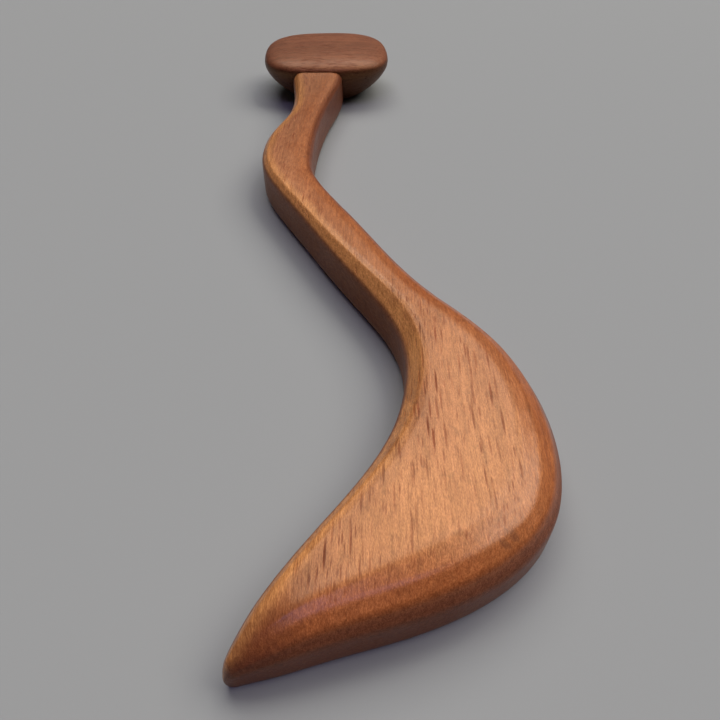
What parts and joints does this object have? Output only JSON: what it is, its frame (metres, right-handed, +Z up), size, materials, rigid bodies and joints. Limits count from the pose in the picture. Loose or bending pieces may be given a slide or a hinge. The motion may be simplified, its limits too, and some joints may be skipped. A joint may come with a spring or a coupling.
{
  "type": "carved wooden implement",
  "caption": "S-curved hand-carved hardwood stick with a broad flat pointed foot and a crowned cross-grain head, pinned from below.",
  "frame": {"origin": "bottom centre of the whole object's box, on the plane of its flat underside", "axes": "+Z up out of the flat top faces, +Y along the object from the toe to the head, +X towards the heel side of the foot"},
  "size_m": [0.0484, 0.1651, 0.0115],
  "materials": {
    "handle_wood": "open-pored reddish brown hardwood, hand sanded, satin, oiled",
    "head_wood": "the same hardwood laid cross-grain, a shade darker and pinker, satin",
    "peg_wood": "darker end-grain dowel, cut and sanded"
  },
  "bodies": {
    "root": {"handle": "handle_wood", "head": "head_wood", "peg": "peg_wood"}
  },
  "joints": []
}
